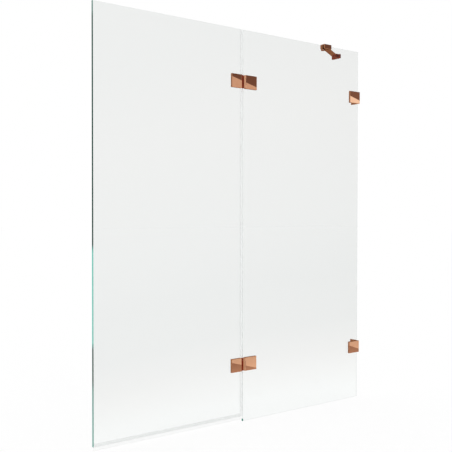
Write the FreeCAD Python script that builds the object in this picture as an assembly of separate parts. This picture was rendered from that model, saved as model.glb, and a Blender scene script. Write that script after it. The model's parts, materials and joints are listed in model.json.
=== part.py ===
import FreeCAD, Part
import math
import os

# Two-panel bath screen: a fixed glass panel held to a wall by two clamps and a brace, and a
# swing panel hung on its free edge by two hinges.
# Frame, in millimetres with +Z up: X = 0 is the wall and the glass runs towards -X, Y = 0 is
# the middle of the glass with the hinge barrels on the -Y side, and Z = 0 is the bath rim.

# Glass panels
SCREEN_WIDTH = 1200.0
SCREEN_HEIGHT = 1400.0
GLASS_T = 8.0
GLASS_ARRIS = 0.8
FIXED_WIDTH = 600.0
WALL_GAP = 3.0
PANEL_GAP = 7.0
RIM_CLEARANCE = 20.0
GLASS_HOLE_R = 6.0

# Height of the hinges and wall clamps
UPPER_FROM_TOP = 186.0
LOWER_FROM_RIM = 206.0

# Clamped joints through the glass
GASKET_T = 1.0
GASKET_INSET = 1.0
BACK_PLATE_T = 6.0
BACK_PLATE_H = 38.0
EDGE_R = 0.8
SCREW_R = 3.0
SCREW_HEAD_R = 5.0
SCREW_HEAD_H = 3.0
SCREW_PITCH = 22.0
SOCKET_FLATS = 4.0
SOCKET_DEPTH = 2.0
THREAD_DEPTH = 4.5
HEAD_SINK = 0.2
THREAD_FIT = 0.05
SCREW_CLEARANCE = 0.3
SLEEVE_CLEARANCE = 0.2

# Hinges
LEAF_H = 48.5
LEAF_T = 7.0
SWING_LEAF_W = 44.5
SWING_LEAF_SETBACK = 6.0
SWING_BACK_W = 28.0
SWING_SCREW_IN = 21.0
FIXED_LEAF_REACH = 55.3
FIXED_BACK_W = 34.0
FIXED_SCREW_IN = 32.3
BARREL_R = 5.0
BARREL_INSET = 0.9
BARREL_GLASS_GAP = 0.5
BARREL_SHORT = 2.0
MIDDLE_KNUCKLE_H = 22.0
KNUCKLE_GAP = 0.4
KNUCKLE_CLEARANCE = 0.5
WEB_RECESS = 4.0
PIN_R = 2.5
PIN_FIT = 0.02
PIN_RUNNING = 0.05
PIN_END_DEPTH = 4.0
BUSH_WALL = 1.0
BUSH_FLANGE_SHY = 0.8
BUSH_END_PLAY = 0.1
CAP_RIM = 1.4
CAP_T = 2.0
CAP_PROUD = 0.4
CAP_EDGE_R = 0.3

# Wall clamps
CLAMP_H = 46.5
CLAMP_PLATE_W = 57.0
CLAMP_PLATE_T = 7.0
CLAMP_WALL_GAP = 1.0
CLAMP_SCREW_IN = 24.0
JAW_W = 40.0
FLANGE_T = 6.0
FLANGE_REACH = 36.0
WALL_HOLE_R = 2.75
WALL_HOLE_PITCH = 28.0
WALL_HOLE_FROM_END = 11.0

# Seals
SEAL_T = 0.9
JOINT_SEAL_LEG = 6.0
JOINT_LIP_T = 1.2
JOINT_LIP_GAP = 1.0
SEAL_END_GAP = 1.0
BOTTOM_SEAL_LEG = 9.0
BOTTOM_SEAL_BASE_T = 1.5
FIN_T = 0.8
FIN_H = 13.0

# Brace from the top of the fixed panel to the wall
BRACE_CLAMP_FROM_WALL = 182.0
BRACE_BLOCK_H = 17.0
BRACE_DROP = 3.5
BRACE_CLAMP_W = 38.0
BRACE_FRONT_JAW_T = 5.0
BRACE_BACK_JAW_T = 13.0
BRACE_BOSS_R = 8.0
BRACE_BOSS_DROP = 5.0
BRACE_LINER_T = 1.0
BRACE_LINER_INSET = 1.0
BRACE_PIN_R = 2.2
BRACE_EYE_R = 4.7
BRACE_EYE_CLEARANCE = 0.4
BRACE_SLOT_CLEARANCE = 0.15
BRACE_PIN_SINK = 1.0
CLAMP_PIN_OFFSET = 8.4
CLAMP_PIN_IN = 4.7
BAR_RISE = 0.6
BAR_W = 24.0
BAR_T = 4.0
BAR_NECK_L = 12.0
BAR_TAPER_L = 6.0
BAR_OVERRUN = 14.0
BAR_EDGE_R = 0.5
FOOT_Y = 121.3
FOOT_W = 45.0
FOOT_H = 16.8
FOOT_T = 7.7
FOOT_PIN_FROM_WALL = 29.0
FOOT_PIN_Y = 108.1
FOOT_BOSS_R = 7.2
WALL_BASE_T = 5.0
WALL_BASE_W = 30.0
WALL_BASE_H = 11.0
WALL_BASE_CLEARANCE = 0.15
WALL_BASE_HOLE_R = 2.5
COUNTERSINK_DEPTH = 2.0
GRUB_R = 2.5
GRUB_SINK = 1.0
FOOT_GRUB_R = 1.5

# Planes of the glass and of what is clamped to it
FRONT = -GLASS_T / 2
BACK = GLASS_T / 2
PLATE_BACK = FRONT - GASKET_T
LEAF_FRONT = PLATE_BACK - LEAF_T
CLAMP_FRONT = PLATE_BACK - CLAMP_PLATE_T
JAW_FRONT = BACK + GASKET_T
JAW_BACK = JAW_FRONT + BACK_PLATE_T
HEAD_SEAT = JAW_BACK - SCREW_HEAD_H - HEAD_SINK

# Edges of the two panels
FIXED_RIGHT = -WALL_GAP
FIXED_LEFT = FIXED_RIGHT - FIXED_WIDTH
SWING_RIGHT = FIXED_LEFT - PANEL_GAP
SWING_LEFT = -SCREEN_WIDTH

# Hinge axis and the screws' places
AXIS_X = FIXED_LEFT + BARREL_INSET
AXIS_Y = FRONT - BARREL_R - BARREL_GLASS_GAP
SWING_LEAF_RIGHT = SWING_RIGHT - SWING_LEAF_SETBACK
SWING_LEAF_LEFT = SWING_LEAF_RIGHT - SWING_LEAF_W
FIXED_LEAF_RIGHT = AXIS_X + FIXED_LEAF_REACH
SWING_SCREW_X = SWING_RIGHT - SWING_SCREW_IN
FIXED_SCREW_X = AXIS_X + FIXED_SCREW_IN
CLAMP_SCREW_X = FIXED_RIGHT - CLAMP_SCREW_IN
BUSH_R = PIN_R + PIN_RUNNING + BUSH_WALL
BUSH_FLANGE_R = BARREL_R - BUSH_FLANGE_SHY
CAP_R = BARREL_R - CAP_RIM
CAP_SINK = CAP_T - CAP_PROUD
BARREL_H = LEAF_H - 2 * BARREL_SHORT
LEVELS = {"upper": SCREEN_HEIGHT - UPPER_FROM_TOP, "lower": LOWER_FROM_RIM}

# Brace axes: the bar turns on an upright pin at each end
BRACE_Z = SCREEN_HEIGHT - BRACE_DROP
BRACE_LOW = BRACE_Z - BRACE_BLOCK_H / 2
BRACE_HIGH = BRACE_Z + BRACE_BLOCK_H / 2
BRACE_BOSS_LOW = BRACE_LOW - BRACE_BOSS_DROP
BRACE_BACK = BACK + BRACE_LINER_T + BRACE_BACK_JAW_T
CLAMP_X = -BRACE_CLAMP_FROM_WALL
CLAMP_PIN_X = CLAMP_X - CLAMP_PIN_OFFSET
CLAMP_PIN_Y = BRACE_BACK - CLAMP_PIN_IN
FOOT_PIN_X = -FOOT_PIN_FROM_WALL
BAR_Z = SCREEN_HEIGHT + BAR_RISE
BAR_L = math.hypot(FOOT_PIN_X - CLAMP_PIN_X, FOOT_PIN_Y - CLAMP_PIN_Y)
BAR_ANGLE = math.degrees(math.atan2(FOOT_PIN_Y - CLAMP_PIN_Y, FOOT_PIN_X - CLAMP_PIN_X))
SLOT_LOW = BAR_Z - BAR_T / 2 - BRACE_SLOT_CLEARANCE
SLOT_HIGH = BAR_Z + BAR_T / 2 + BRACE_SLOT_CLEARANCE
FOOT_LOW = BAR_Z - FOOT_H / 2
TONGUE_LOW = FOOT_LOW + EDGE_R
TONGUE_HIGH = BAR_Z + FOOT_H / 2 - EDGE_R

UP = FreeCAD.Vector(0, 0, 1)
ACROSS = FreeCAD.Vector(0, 1, 0)
TO_WALL = FreeCAD.Vector(1, 0, 0)


def block(x, y, z):
    """Box between two planes on each axis."""
    return Part.makeBox(x[1] - x[0], y[1] - y[0], z[1] - z[0], FreeCAD.Vector(x[0], y[0], z[0]))


def rod(radius, start, length, axis):
    """Round bar from a start point along an axis."""
    return Part.makeCylinder(radius, length, FreeCAD.Vector(*start), axis)


def about(middle, size):
    """Lower and upper limit of a size centred on a place."""
    return (middle - size / 2, middle + size / 2)


def edges_off_plane(shape, axis, place):
    """Edges of a shape that don't lie in the plane where the axis has this value."""
    index = "xyz".index(axis)
    return [edge for edge in shape.Edges
            if any(abs(vertex.Point[index] - place) > 1e-6 for vertex in edge.Vertexes)]


def edges_on_plane(shape, axis, place):
    """Edges of a shape that lie in the plane where the axis has this value."""
    index = "xyz".index(axis)
    return [edge for edge in shape.Edges
            if all(abs(vertex.Point[index] - place) <= 1e-6 for vertex in edge.Vertexes)]


def screw_places(x, level):
    """Pair of screw places, one above the other, at one hinge or clamp."""
    return [(x, level - SCREW_PITCH / 2), (x, level + SCREW_PITCH / 2)]


def drilled(shape, places, radius, y):
    """Shape with a hole along Y at each place."""
    for place_x, place_z in places:
        shape = shape.cut(rod(radius, (place_x, y[0], place_z), y[1] - y[0], ACROSS))
    return shape


def front_plate(x, level, height, front):
    """Plate on the front of the glass, rounded on every edge but those against its gasket."""
    plate = block(x, (front, PLATE_BACK), about(level, height))
    return plate.makeFillet(EDGE_R, edges_off_plane(plate, "y", PLATE_BACK))


def tapped(shape, places):
    """Shape with a blind threaded hole from the glass side at each place."""
    return drilled(shape, places, SCREW_R + THREAD_FIT, (PLATE_BACK - THREAD_DEPTH, PLATE_BACK))


def counterbored(shape, places):
    """Back plate or jaw with a through hole and a seat for the screw head at each place."""
    shape = drilled(shape, places, SCREW_R + SCREW_CLEARANCE, (JAW_FRONT, JAW_BACK))
    return drilled(shape, places, SCREW_HEAD_R + SCREW_CLEARANCE, (HEAD_SEAT, JAW_BACK))


def back_plate(x, level, places):
    """Plate behind the glass that the screws pull against."""
    plate = block(x, (JAW_FRONT, JAW_BACK), about(level, BACK_PLATE_H))
    plate = plate.makeFillet(EDGE_R, edges_off_plane(plate, "y", JAW_FRONT))
    return counterbored(plate, places)


def gaskets(front_x, front_h, back_x, level, places):
    """Front and back gasket, each a little smaller than the metal that it lies under."""
    front = block((front_x[0] + GASKET_INSET, front_x[1] - GASKET_INSET), (PLATE_BACK, FRONT),
                  about(level, front_h - 2 * GASKET_INSET))
    back = block((back_x[0] + GASKET_INSET, back_x[1] - GASKET_INSET), (BACK, JAW_FRONT),
                 about(level, BACK_PLATE_H - 2 * GASKET_INSET))
    hole_r = SCREW_R + SCREW_CLEARANCE
    return [drilled(front, places, hole_r, (PLATE_BACK, FRONT)),
            drilled(back, places, hole_r, (BACK, JAW_FRONT))]


def sleeves(places):
    """Plastic sleeves that keep the screws off the glass."""
    outer_r = GLASS_HOLE_R - SLEEVE_CLEARANCE
    inner_r = SCREW_R + SLEEVE_CLEARANCE
    return [rod(outer_r, (x, FRONT, z), GLASS_T, ACROSS).cut(rod(inner_r, (x, FRONT, z), GLASS_T, ACROSS))
            for x, z in places]


def hex_socket(x, z):
    """Six-sided recess in a screw head."""
    corner = SOCKET_FLATS / math.sqrt(3)
    bottom = HEAD_SEAT + SCREW_HEAD_H - SOCKET_DEPTH
    points = [FreeCAD.Vector(x + corner * math.cos(math.radians(60 * i)), bottom,
                             z + corner * math.sin(math.radians(60 * i))) for i in range(7)]
    return Part.Face(Part.makePolygon(points)).extrude(ACROSS * SOCKET_DEPTH)


def screws(places):
    """Socket screws from the back, through the glass, into the front plate."""
    tip = PLATE_BACK - THREAD_DEPTH + SCREW_CLEARANCE
    made = []
    for x, z in places:
        shank = rod(SCREW_R, (x, tip, z), HEAD_SEAT - tip, ACROSS)
        head = rod(SCREW_HEAD_R, (x, HEAD_SEAT, z), SCREW_HEAD_H, ACROSS)
        made.append(shank.fuse(head).cut(hex_socket(x, z)).removeSplitter())
    return made


def glass_panel(x, bottom, places):
    """Toughened glass panel with polished arrises and its drilled holes."""
    panel = block(x, (FRONT, BACK), (bottom, SCREEN_HEIGHT))
    rims = edges_on_plane(panel, "y", FRONT) + edges_on_plane(panel, "y", BACK)
    return drilled(panel.makeChamfer(GLASS_ARRIS, rims), places, GLASS_HOLE_R, (FRONT, BACK))


def all_places(x):
    """Screw places at both levels."""
    return [place for level in LEVELS.values() for place in screw_places(x, level)]


def fixed_glass():
    """Panel that stands on the rim, drilled for the hinges and the wall clamps."""
    places = all_places(FIXED_SCREW_X) + all_places(CLAMP_SCREW_X)
    return glass_panel((FIXED_LEFT, FIXED_RIGHT), 0.0, places)


def swing_glass():
    """Panel that swings, held clear of the rim and drilled for the hinges."""
    return glass_panel((SWING_LEFT, SWING_RIGHT), RIM_CLEARANCE, all_places(SWING_SCREW_X))


def knuckle(low, high):
    """Length of the hinge barrel."""
    return rod(BARREL_R, (AXIS_X, AXIS_Y, low), high - low, UP)


def axis_hole(radius, low, high):
    """Cutter on the hinge axis."""
    return rod(radius, (AXIS_X, AXIS_Y, low), high - low, UP)


def fixed_leaf(level):
    """Leaf on the fixed panel, with the upper and lower knuckles of the barrel."""
    leaf_low, leaf_high = about(level, LEAF_H)
    low, high = about(level, BARREL_H)
    gap_low, gap_high = about(level, MIDDLE_KNUCKLE_H + 2 * KNUCKLE_GAP)
    plate = front_plate((AXIS_X, FIXED_LEAF_RIGHT), level, LEAF_H, LEAF_FRONT)
    room_x = (AXIS_X - BARREL_R, AXIS_X + BARREL_R + KNUCKLE_CLEARANCE)
    room_y = (AXIS_Y - BARREL_R, AXIS_Y + BARREL_R + KNUCKLE_CLEARANCE)
    plate = plate.cut(block(room_x, room_y, (gap_low, gap_high)))
    leaf = plate.fuse([knuckle(low, gap_low), knuckle(gap_high, high)]).removeSplitter()
    leaf = leaf.cut(axis_hole(PIN_R + PIN_FIT, low, high))
    for seat in ((leaf_low, low + CAP_SINK), (high - CAP_SINK, leaf_high)):
        leaf = leaf.cut(axis_hole(CAP_R + PIN_FIT, *seat))
    return tapped(leaf, screw_places(FIXED_SCREW_X, level))


def swing_leaf(level):
    """Leaf on the swing panel, with a set-back web that carries the middle knuckle."""
    leaf_low, leaf_high = about(level, LEAF_H)
    low, high = about(level, MIDDLE_KNUCKLE_H)
    plate = front_plate((SWING_LEAF_LEFT, SWING_LEAF_RIGHT), level, LEAF_H, LEAF_FRONT)
    web = block((SWING_LEAF_RIGHT - LEAF_T, AXIS_X), (LEAF_FRONT + WEB_RECESS, PLATE_BACK),
                (leaf_low + EDGE_R, leaf_high - EDGE_R))
    for room in ((leaf_low, low), (high, leaf_high)):
        web = web.cut(axis_hole(BARREL_R + KNUCKLE_CLEARANCE, *room))
    leaf = plate.fuse([web, knuckle(low, high)]).removeSplitter()
    leaf = leaf.cut(axis_hole(BUSH_R + PIN_FIT, low, high))
    return tapped(leaf, screw_places(SWING_SCREW_X, level))


def bushes(level):
    """Pair of flanged plastic bushes, pushed into the middle knuckle from its two ends."""
    half = MIDDLE_KNUCKLE_H / 2
    flange_t = KNUCKLE_GAP - BUSH_END_PLAY
    pair = []
    for side in (-1, 1):
        end = level + side * half
        axis = UP * side
        shape = axis_hole(BUSH_R, *sorted((level, end)))
        shape = shape.fuse(rod(BUSH_FLANGE_R, (AXIS_X, AXIS_Y, end), flange_t, axis))
        bore = rod(PIN_R + PIN_RUNNING, (AXIS_X, AXIS_Y, level), half + flange_t, axis)
        pair.append(shape.cut(bore).removeSplitter())
    return pair


def hinge_pin(level):
    """Steel pin through the barrel, short of its ends."""
    low, high = about(level, BARREL_H - 2 * PIN_END_DEPTH)
    return rod(PIN_R, (AXIS_X, AXIS_Y, low), high - low, UP)


def barrel_caps(level):
    """Turned caps sunk in the ends of the barrel, each on a spigot that meets the pin."""
    spigot_l = PIN_END_DEPTH - CAP_SINK
    pair = []
    for side in (-1, 1):
        axis = UP * side
        seat = level + side * (BARREL_H / 2 - CAP_SINK)
        disc = rod(CAP_R, (AXIS_X, AXIS_Y, seat), CAP_T, axis)
        disc = disc.makeFillet(CAP_EDGE_R, edges_on_plane(disc, "z", seat + side * CAP_T))
        spigot = rod(PIN_R, (AXIS_X, AXIS_Y, seat - side * spigot_l), spigot_l, axis)
        pair.append(disc.fuse(spigot).removeSplitter())
    return pair


def wall_bracket(level):
    """Angle bracket behind the glass: a jaw for the clamp screws and a flange on the wall."""
    jaw = block((-JAW_W, 0.0), (JAW_FRONT, JAW_BACK), about(level, BACK_PLATE_H))
    jaw = jaw.makeFillet(EDGE_R, edges_on_plane(jaw, "x", -JAW_W))
    flange = block((-FLANGE_T, 0.0), (JAW_FRONT, FLANGE_REACH), about(level, CLAMP_H))
    flange = flange.makeFillet(EDGE_R, edges_on_plane(flange, "y", FLANGE_REACH))
    bracket = counterbored(jaw.fuse(flange).removeSplitter(), screw_places(CLAMP_SCREW_X, level))
    for height in about(level, WALL_HOLE_PITCH):
        start = (-FLANGE_T, FLANGE_REACH - WALL_HOLE_FROM_END, height)
        bracket = bracket.cut(rod(WALL_HOLE_R, start, FLANGE_T, TO_WALL))
    return bracket


def clamp_plate(level):
    """Front plate of a wall clamp."""
    right = -CLAMP_WALL_GAP
    plate = front_plate((right - CLAMP_PLATE_W, right), level, CLAMP_H, CLAMP_FRONT)
    return tapped(plate, screw_places(CLAMP_SCREW_X, level))


def joint_seal():
    """Clear seal along the swing panel's hinge edge, in lengths between the hinges."""
    legs_x = (SWING_RIGHT - JOINT_SEAL_LEG, SWING_RIGHT + SEAL_T)
    half_leaf = LEAF_H / 2 + SEAL_END_GAP
    low, high = LEVELS["lower"], LEVELS["upper"]
    start = RIM_CLEARANCE + BOTTOM_SEAL_LEG + SEAL_END_GAP
    lengths = [(start, low - half_leaf), (low + half_leaf, high - half_leaf),
               (high + half_leaf, SCREEN_HEIGHT)]
    made = []
    for z in lengths:
        base = block((SWING_RIGHT, SWING_RIGHT + SEAL_T), (FRONT, BACK), z)
        legs = [block(legs_x, (FRONT - SEAL_T, FRONT), z), block(legs_x, (BACK, BACK + SEAL_T), z)]
        lip = block((SWING_RIGHT + SEAL_T, FIXED_LEFT - JOINT_LIP_GAP), about(0.0, JOINT_LIP_T), z)
        made.append(base.fuse(legs + [lip]).removeSplitter())
    return made


def bottom_seal():
    """Clear seal under the swing panel: a channel on the glass and a fin towards the rim."""
    x = (SWING_LEFT, SWING_RIGHT)
    base_low = RIM_CLEARANCE - BOTTOM_SEAL_BASE_T
    legs_z = (base_low, RIM_CLEARANCE + BOTTOM_SEAL_LEG)
    base = block(x, (FRONT, BACK), (base_low, RIM_CLEARANCE))
    legs = [block(x, (FRONT - SEAL_T, FRONT), legs_z), block(x, (BACK, BACK + SEAL_T), legs_z)]
    fin = block(x, about(0.0, FIN_T), (base_low - FIN_H, base_low))
    return base.fuse(legs + [fin]).removeSplitter()


def brace_clamp():
    """Block that hangs over the top edge of the fixed panel and holds the bar's thin end."""
    front = FRONT - BRACE_LINER_T
    left, right = about(CLAMP_X, BRACE_CLAMP_W)
    jaw_y = (front - BRACE_FRONT_JAW_T, front)
    shape = block((left, right), (jaw_y[0], BRACE_BACK), (BRACE_LOW, BRACE_HIGH))
    shape = shape.makeFillet(EDGE_R, shape.Edges)
    shape = shape.cut(block((left, right), (front, BACK + BRACE_LINER_T),
                            (BRACE_LOW, SCREEN_HEIGHT + BRACE_LINER_T)))
    foot_of_pin = (CLAMP_PIN_X, CLAMP_PIN_Y, BRACE_BOSS_LOW)
    shape = shape.fuse(rod(BRACE_BOSS_R, foot_of_pin, SLOT_LOW - BRACE_BOSS_LOW, UP)).removeSplitter()
    reach = BRACE_EYE_R + BRACE_EYE_CLEARANCE
    shape = shape.cut(block((CLAMP_PIN_X - reach, right), (CLAMP_PIN_Y - reach, BRACE_BACK),
                            (SLOT_LOW, SLOT_HIGH)))
    shape = shape.cut(rod(BRACE_PIN_R + PIN_FIT, foot_of_pin, BRACE_HIGH - BRACE_BOSS_LOW, UP))
    return shape.cut(rod(GRUB_R + THREAD_FIT, grub_start(), BRACE_BACK_JAW_T, ACROSS))


def grub_start():
    """Point of the glass clamp's grub screw, on its liner, below the bar's slot and beside the boss."""
    boss_right = CLAMP_PIN_X + BRACE_BOSS_R
    right = CLAMP_X + BRACE_CLAMP_W / 2
    return ((boss_right + right) / 2, BACK + BRACE_LINER_T, (BRACE_LOW + SLOT_LOW) / 2)


def grub_screw():
    """Grub screw that presses the liner on the glass."""
    return rod(GRUB_R, grub_start(), BRACE_BACK_JAW_T - GRUB_SINK, ACROSS)


def brace_liner():
    """Folded rubber strip between the block and the top edge of the glass."""
    x = about(CLAMP_X, BRACE_CLAMP_W - 2 * BRACE_LINER_INSET)
    front, back = FRONT - BRACE_LINER_T, BACK + BRACE_LINER_T
    low, top = BRACE_LOW + BRACE_LINER_INSET, SCREEN_HEIGHT + BRACE_LINER_T
    return block(x, (front, back), (low, top)).cut(block(x, (FRONT, BACK), (low, SCREEN_HEIGHT)))


def brace_pin(x, y, low, high):
    """Upright pin at one end of the bar, below flush in what holds it."""
    return rod(BRACE_PIN_R, (x, y, low + BRACE_PIN_SINK), high - low - 2 * BRACE_PIN_SINK, UP)


def brace_bar():
    """Flat bar: a thin eye at the glass clamp, a taper, and a full-width end in the foot."""
    taper_end = BAR_NECK_L + BAR_TAPER_L
    end = BAR_L + BAR_OVERRUN
    half_neck, half_bar = BRACE_EYE_R, BAR_W / 2
    points = [(0, -half_neck), (BAR_NECK_L, -half_neck), (taper_end, -half_bar), (end, -half_bar),
              (end, half_bar), (taper_end, half_bar), (BAR_NECK_L, half_neck), (0, half_neck)]
    low = BAR_Z - BAR_T / 2
    outline = Part.makePolygon([FreeCAD.Vector(u, v, low) for u, v in points + points[:1]])
    bar = Part.Face(outline).extrude(UP * BAR_T)
    bar = bar.fuse(rod(half_neck, (0, 0, low), BAR_T, UP)).removeSplitter()
    rims = edges_on_plane(bar, "z", low) + edges_on_plane(bar, "z", low + BAR_T)
    bar = bar.makeFillet(BAR_EDGE_R, rims)
    for place in (0.0, BAR_L):
        bar = bar.cut(rod(BRACE_PIN_R + PIN_RUNNING, (place, 0, low), BAR_T, UP))
    bar.rotate(FreeCAD.Vector(0, 0, 0), UP, BAR_ANGLE)
    bar.translate(FreeCAD.Vector(CLAMP_PIN_X, CLAMP_PIN_Y, 0))
    return bar


def brace_foot():
    """Flange on the wall with a fork that the bar turns in, hollow behind over its wall base."""
    flange = block((-FOOT_T, 0.0), about(FOOT_Y, FOOT_W), about(BAR_Z, FOOT_H))
    flange = flange.makeFillet(EDGE_R, edges_off_plane(flange, "x", 0.0))
    grow = 2 * WALL_BASE_CLEARANCE
    flange = flange.cut(block((-WALL_BASE_T - WALL_BASE_CLEARANCE, 0.0), about(FOOT_Y, WALL_BASE_W + grow),
                              about(BAR_Z, WALL_BASE_H + grow)))
    shape = flange
    for low, high in ((TONGUE_LOW, SLOT_LOW), (SLOT_HIGH, TONGUE_HIGH)):
        start = (FOOT_PIN_X, FOOT_PIN_Y, low)
        tongue = block((FOOT_PIN_X, -FOOT_T), about(FOOT_PIN_Y, 2 * FOOT_BOSS_R), (low, high))
        shape = shape.fuse([tongue, rod(FOOT_BOSS_R, start, high - low, UP)]).removeSplitter()
        shape = shape.cut(rod(BRACE_PIN_R + PIN_FIT, start, high - low, UP))
    depth = (FOOT_H - WALL_BASE_H) / 2
    return shape.cut(rod(FOOT_GRUB_R + THREAD_FIT, (-WALL_BASE_T / 2, FOOT_Y, FOOT_LOW), depth, UP))


def foot_grub():
    """Small grub screw from below that locks the foot on its wall base."""
    length = (FOOT_H - WALL_BASE_H) / 2 - GRUB_SINK
    return rod(FOOT_GRUB_R, (-WALL_BASE_T / 2, FOOT_Y, FOOT_LOW + GRUB_SINK), length, UP)


def wall_base():
    """Small plate screwed to the wall inside the foot, with one countersunk hole."""
    plate = block((-WALL_BASE_T, 0.0), about(FOOT_Y, WALL_BASE_W), about(BAR_Z, WALL_BASE_H))
    plate = plate.cut(rod(WALL_BASE_HOLE_R, (-WALL_BASE_T, FOOT_Y, BAR_Z), WALL_BASE_T, TO_WALL))
    sink = Part.makeCone(WALL_BASE_HOLE_R + COUNTERSINK_DEPTH, WALL_BASE_HOLE_R, COUNTERSINK_DEPTH,
                         FreeCAD.Vector(-WALL_BASE_T, FOOT_Y, BAR_Z), TO_WALL)
    return plate.cut(sink)


def hinge_pieces(name, level):
    """Every piece of one hinge, by node name."""
    swing_places = screw_places(SWING_SCREW_X, level)
    fixed_places = screw_places(FIXED_SCREW_X, level)
    swing_back_x = about(SWING_SCREW_X, SWING_BACK_W)
    fixed_back_x = about(FIXED_SCREW_X, FIXED_BACK_W)
    swing_leaf_x = (SWING_LEAF_LEFT, SWING_LEAF_RIGHT)
    fixed_pad_x = (AXIS_X + BARREL_R + KNUCKLE_CLEARANCE, FIXED_LEAF_RIGHT)
    return {
        name + "_fixed_leaf": [fixed_leaf(level)],
        name + "_fixed_back_plate": [back_plate(fixed_back_x, level, fixed_places)],
        name + "_fixed_gaskets": gaskets(fixed_pad_x, LEAF_H, fixed_back_x, level, fixed_places),
        name + "_fixed_sleeves": sleeves(fixed_places),
        name + "_fixed_screws": screws(fixed_places),
        name + "_hinge_pin": [hinge_pin(level)],
        name + "_barrel_caps": barrel_caps(level),
        name + "_swing_leaf": [swing_leaf(level)],
        name + "_swing_back_plate": [back_plate(swing_back_x, level, swing_places)],
        name + "_swing_gaskets": gaskets(swing_leaf_x, LEAF_H, swing_back_x, level, swing_places),
        name + "_swing_sleeves": sleeves(swing_places),
        name + "_swing_screws": screws(swing_places),
        name + "_hinge_bushes": bushes(level),
    }


def clamp_pieces(name, level):
    """Every piece of one wall clamp, by node name."""
    places = screw_places(CLAMP_SCREW_X, level)
    plate_right = min(-CLAMP_WALL_GAP, FIXED_RIGHT)
    plate_x = (-CLAMP_WALL_GAP - CLAMP_PLATE_W, plate_right)
    jaw_x = (-JAW_W, FIXED_RIGHT)
    return {
        name + "_wall_bracket": [wall_bracket(level)],
        name + "_clamp_plate": [clamp_plate(level)],
        name + "_clamp_gaskets": gaskets(plate_x, CLAMP_H, jaw_x, level, places),
        name + "_clamp_sleeves": sleeves(places),
        name + "_clamp_screws": screws(places),
    }


def brace_pieces():
    """Every piece of the brace, by node name."""
    return {
        "brace_glass_clamp": [brace_clamp()],
        "brace_liner": [brace_liner()],
        "brace_grub_screw": [grub_screw()],
        "brace_clamp_pin": [brace_pin(CLAMP_PIN_X, CLAMP_PIN_Y, BRACE_BOSS_LOW, BRACE_HIGH)],
        "brace_bar": [brace_bar()],
        "brace_foot_pin": [brace_pin(FOOT_PIN_X, FOOT_PIN_Y, TONGUE_LOW, TONGUE_HIGH)],
        "brace_wall_foot": [brace_foot()],
        "brace_wall_base": [wall_base()],
        "brace_foot_screw": [foot_grub()],
    }


def main():
    """Make every node and write it to its own file."""
    nodes = {
        "fixed_glass": [fixed_glass()],
        "swing_glass": [swing_glass()],
        "joint_seal": joint_seal(),
        "bottom_seal": [bottom_seal()],
    }
    for name, level in LEVELS.items():
        nodes.update(clamp_pieces(name, level))
        nodes.update(hinge_pieces(name, level))
    nodes.update(brace_pieces())
    os.makedirs("parts", exist_ok=True)
    for name, solids in nodes.items():
        shape = solids[0] if len(solids) == 1 else Part.makeCompound(solids)
        shape.exportStep("parts/" + name + ".step")
        print(name, len(shape.Solids), shape.isValid(), round(shape.Volume, 1))


main()
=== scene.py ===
"""Looks of a two-panel bath screen: float glass, rose-copper fittings and clear vinyl seals.

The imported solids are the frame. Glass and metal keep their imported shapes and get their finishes
here, and the two extruded seals are remodelled with rounded legs and a curved fin.
Places are in metres in the frame's axes: +X into the wall, +Y behind the glass, +Z up from the rim.
"""
import json
import logging
import math
from dataclasses import dataclass, field
from enum import Enum
from typing import Any

import bmesh
import bpy
from mathutils import Matrix, Vector


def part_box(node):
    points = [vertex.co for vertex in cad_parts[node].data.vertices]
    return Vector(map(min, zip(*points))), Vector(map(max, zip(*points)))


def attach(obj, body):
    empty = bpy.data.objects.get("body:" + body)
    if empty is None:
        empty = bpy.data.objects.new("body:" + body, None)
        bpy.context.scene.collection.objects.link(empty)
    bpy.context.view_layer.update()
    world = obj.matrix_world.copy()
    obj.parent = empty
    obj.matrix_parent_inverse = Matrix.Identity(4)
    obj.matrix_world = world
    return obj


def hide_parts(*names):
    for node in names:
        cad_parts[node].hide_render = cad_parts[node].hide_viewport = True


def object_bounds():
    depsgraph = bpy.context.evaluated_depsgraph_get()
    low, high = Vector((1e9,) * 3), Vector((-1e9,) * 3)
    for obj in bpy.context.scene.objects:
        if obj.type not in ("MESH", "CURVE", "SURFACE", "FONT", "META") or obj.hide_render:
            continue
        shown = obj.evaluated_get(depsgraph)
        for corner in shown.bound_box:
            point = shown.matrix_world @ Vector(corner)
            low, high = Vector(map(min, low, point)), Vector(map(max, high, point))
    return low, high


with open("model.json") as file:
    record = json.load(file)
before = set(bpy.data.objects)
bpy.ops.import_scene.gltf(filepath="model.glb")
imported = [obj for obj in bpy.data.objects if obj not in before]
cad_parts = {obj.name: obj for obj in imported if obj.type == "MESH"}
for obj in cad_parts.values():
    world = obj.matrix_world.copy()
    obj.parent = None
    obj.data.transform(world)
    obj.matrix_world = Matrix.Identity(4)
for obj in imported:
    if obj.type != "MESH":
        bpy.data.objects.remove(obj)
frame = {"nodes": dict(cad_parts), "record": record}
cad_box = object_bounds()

MM = 0.001
LEVELS = ("upper", "lower")
WHITE = (1.0, 1.0, 1.0, 1.0)
# Vertices closer than this, in metres, are at the same place.
SAME_PLACE = 1e-7
# Power of a lamp of one square metre at a brightness of 1.
WATTS_PER_GLOW = 4.0
# Most of a noise texture's values lie between these.
NOISE_LOW, NOISE_HIGH = 0.3, 0.7
# Ray depths are whole numbers, so this tells none from some.
HALF_BOUNCE = 0.5

log = logging.getLogger("bath_screen")


class Slot(Enum):
    """Material slots of the record that the pieces take their finish from."""

    GLASS = "glass"
    COPPER = "copper_plate"
    STEEL = "steel"
    VINYL = "clear_vinyl"
    GASKET = "gasket"
    NYLON = "nylon"


class Side(Enum):
    """Which side of a reflection's edge a bright card lies on."""

    BELOW = -1
    ABOVE = 1


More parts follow.
